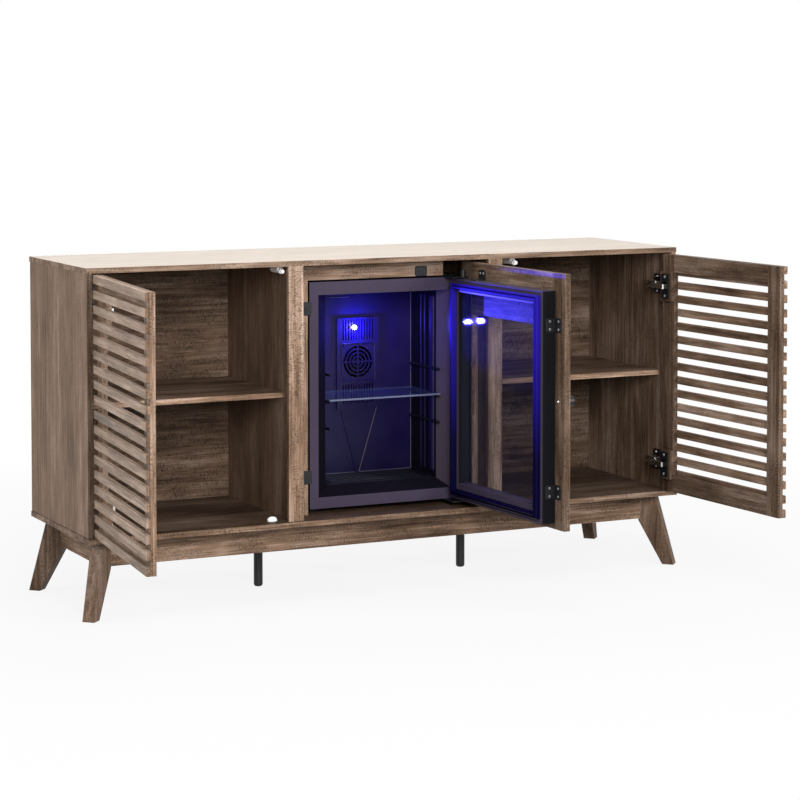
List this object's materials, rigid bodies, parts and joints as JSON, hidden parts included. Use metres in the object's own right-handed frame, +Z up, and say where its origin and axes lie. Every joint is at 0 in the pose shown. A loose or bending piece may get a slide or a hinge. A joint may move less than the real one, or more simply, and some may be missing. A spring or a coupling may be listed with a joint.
{
  "type": "sideboard with built-in fridge",
  "caption": "Oak-look sideboard on splayed legs with open louvred doors and a small glass-door fridge behind a framed centre door.",
  "frame": {"origin": "on the floor under the middle of the carcass", "axes": "+X to the right as seen from the front, +Y to the back, +Z up"},
  "size_m": [1.5417, 0.8701, 0.774],
  "materials": {
    "wood": "matt oak-look laminate",
    "back_board": "matt printed board",
    "black_metal": "satin black",
    "nickel": "nickel plate",
    "white_plastic": "satin",
    "fridge_black": "satin",
    "fridge_inside": "semi-gloss",
    "seal": "matt",
    "lamp": "clear lens",
    "glass": "clear",
    "heat_sink": "extruded"
  },
  "bodies": {
    "cabinet": {"top_panel": "wood", "bottom_panel": "wood", "left_side_panel": "wood", "right_side_panel": "wood", "left_partition": "wood", "right_partition": "wood", "left_stile": "wood", "right_stile": "wood", "left_shelf": "wood", "right_shelf": "wood", "fridge_rail": "wood", "fridge_filler": "wood", "front_apron": "wood", "rear_apron": "wood", "side_aprons": "wood", "front_left_leg": "wood", "front_right_leg": "wood", "rear_left_leg": "wood", "rear_right_leg": "wood", "left_back_panel": "back_board", "centre_back_panel": "back_board", "right_back_panel": "back_board", "support_legs": "black_metal", "hinge_plates": "black_metal", "fridge_brackets": "black_metal", "fridge_hinges": "black_metal", "hinge_arms": "nickel", "shelf_pins": "nickel", "latch_housings": "white_plastic", "fridge_shell": "fridge_black", "fridge_front_frame": "fridge_black", "power_inlet": "fridge_black", "rear_grille": "fridge_black", "fridge_liner": "fridge_inside", "fan_cover": "fridge_inside", "shelf_ledges": "fridge_inside", "fan_motor": "fridge_inside", "cooling_chip": "fridge_inside", "fridge_feet": "seal", "led_module": "lamp", "glass_shelf": "glass", "cold_sink": "heat_sink", "hot_sink": "heat_sink"},
    "fridge_fan": {"fan_rotor": "fridge_inside"},
    "centre_door": {"centre_door_frame": "wood", "glass_door_frame": "fridge_black", "glass_door_panes": "glass", "door_gasket": "seal", "door_brackets": "black_metal", "door_knob": "black_metal"},
    "left_door": {"left_door_frame": "wood", "left_door_slats": "wood", "left_hinge_cups": "black_metal"},
    "right_door": {"right_door_frame": "wood", "right_door_slats": "wood", "right_hinge_cups": "black_metal"},
    "left_links": {"left_hinge_links": "nickel"},
    "right_links": {"right_hinge_links": "nickel"},
    "left_plunger": {"left_latch_plunger": "white_plastic"},
    "right_plunger": {"right_latch_plunger": "white_plastic"}
  },
  "joints": [
    {"name": "left_door_swing", "type": "hinge", "parent": "cabinet", "child": "left_door", "pos_m": [-0.734, -0.2, 0.4725], "axis": [0, 0, -1], "range_deg": [-96, 0]},
    {"name": "right_door_swing", "type": "hinge", "parent": "cabinet", "child": "right_door", "pos_m": [0.734, -0.2, 0.4725], "axis": [0, 0, 1], "range_deg": [-93, 0]},
    {"name": "centre_door_swing", "type": "hinge", "parent": "cabinet", "child": "centre_door", "pos_m": [0.188, -0.174, 0.4725], "axis": [0, 0, 1], "range_deg": [-92.6, 0]},
    {"name": "left_link_swing", "type": "hinge", "parent": "cabinet", "child": "left_links", "pos_m": [-0.724, -0.161, 0.4725], "axis": [0, 0, -1], "range_deg": [-96, 0]},
    {"name": "right_link_swing", "type": "hinge", "parent": "cabinet", "child": "right_links", "pos_m": [0.724, -0.161, 0.4725], "axis": [0, 0, 1], "range_deg": [-93, 0]},
    {"name": "left_latch_press", "type": "slide", "parent": "cabinet", "child": "left_plunger", "axis": [0, 1, 0], "range_m": [0, 0.004], "stiffness_N_per_m": 300},
    {"name": "right_latch_press", "type": "slide", "parent": "cabinet", "child": "right_plunger", "axis": [0, 1, 0], "range_m": [0, 0.004], "stiffness_N_per_m": 300},
    {"name": "fan_spin", "type": "hinge", "parent": "cabinet", "child": "fridge_fan", "pos_m": [0.018, 0.074, 0.506], "axis": [0, 1, 0], "continuous": true}
  ],
  "couplings": [
    {"joint": "left_link_swing", "follows": "left_door_swing", "ratio": 1},
    {"joint": "right_link_swing", "follows": "right_door_swing", "ratio": 1}
  ]
}
